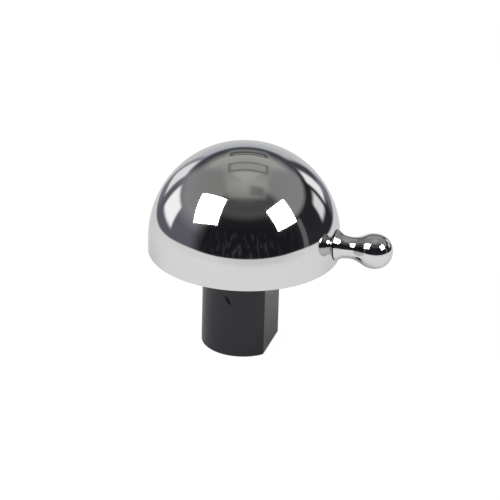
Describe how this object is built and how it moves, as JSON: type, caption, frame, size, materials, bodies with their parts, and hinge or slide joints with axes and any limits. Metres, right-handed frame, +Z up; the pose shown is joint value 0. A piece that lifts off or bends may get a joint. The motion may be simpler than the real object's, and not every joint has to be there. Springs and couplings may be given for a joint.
{
  "type": "service bell",
  "caption": "Dome bell with a ball-ended side lever on a keyed round plug post, and the geared striker works inside it.",
  "frame": {"origin": "on the bell's axis in the plane of the gong's rim, at the top of the plug post", "axes": "+Z up through the gong's crown, +X out along the lever at rest and square to the post's flat"},
  "size_m": [0.0774, 0.06, 0.0658],
  "materials": {
    "chrome_plate": "bright nickel chrome on turned and spun brass and steel",
    "black_plastic": "satin moulded nylon",
    "zinc_plated_steel": "bright zinc on pressed steel",
    "ground_steel": "turned and ground steel",
    "turned_brass": "turned and hobbed brass",
    "clapper_brass": "tumbled brass",
    "red_fibre": "vulcanised fibre",
    "black_screws": "black oxide",
    "spring_steel": "oiled spring steel"
  },
  "bodies": {
    "stand": {"gong": "chrome_plate", "plug_post": "black_plastic", "base_plate": "zinc_plated_steel", "post_washer": "zinc_plated_steel", "gong_jam_nut": "zinc_plated_steel", "strike_lugs": "zinc_plated_steel", "centre_shaft": "ground_steel", "gear_axle": "ground_steel", "lever_stop_pins": "ground_steel", "spring_anchor_pin": "ground_steel", "lower_thrust_washer": "ground_steel", "upper_thrust_washer": "ground_steel", "gong_boss": "turned_brass", "isolating_washer": "red_fibre", "plate_screws": "black_screws", "post_screw": "black_screws", "gear_clip": "spring_steel", "spinner_clip": "spring_steel", "return_spring": "spring_steel"},
    "lever": {"lever_arm": "zinc_plated_steel", "lever_bush": "turned_brass", "lever_knob": "chrome_plate", "lever_spring_peg": "ground_steel"},
    "gear": {"drive_pinion": "turned_brass", "drive_gear": "turned_brass"},
    "spinner": {"spinner_pinion": "turned_brass", "spinner_bar": "zinc_plated_steel", "clapper_rivets": "ground_steel"},
    "clapper_a": {"clapper_a": "clapper_brass"},
    "clapper_b": {"clapper_b": "clapper_brass"}
  },
  "joints": [
    {"name": "lever_swing", "type": "hinge", "parent": "stand", "child": "lever", "pos_m": [0, 0, 0.0055], "axis": [0, 0, 1], "range_deg": [0, 27], "stiffness_Nm_per_rad": 0.15, "springref_deg": -17.19, "deforming": ["return_spring"]},
    {"name": "gear_spin", "type": "hinge", "parent": "stand", "child": "gear", "pos_m": [-0.015, 0, 0.0065], "axis": [0, 0, 1], "range_deg": [-108, 0]},
    {"name": "spinner_spin", "type": "hinge", "parent": "stand", "child": "spinner", "pos_m": [0, 0, 0.0095], "axis": [0, 0, 1], "range_deg": [0, 342]},
    {"name": "clapper_a_throw", "type": "slide", "parent": "spinner", "child": "clapper_a", "axis": [1, 0, 0], "range_m": [-0.001, 0.001]},
    {"name": "clapper_b_throw", "type": "slide", "parent": "spinner", "child": "clapper_b", "axis": [-1, 0, 0], "range_m": [-0.001, 0.001]}
  ],
  "couplings": [
    {"joint": "gear_spin", "follows": "lever_swing", "ratio": -4},
    {"joint": "spinner_spin", "follows": "lever_swing", "ratio": 12.667}
  ]
}
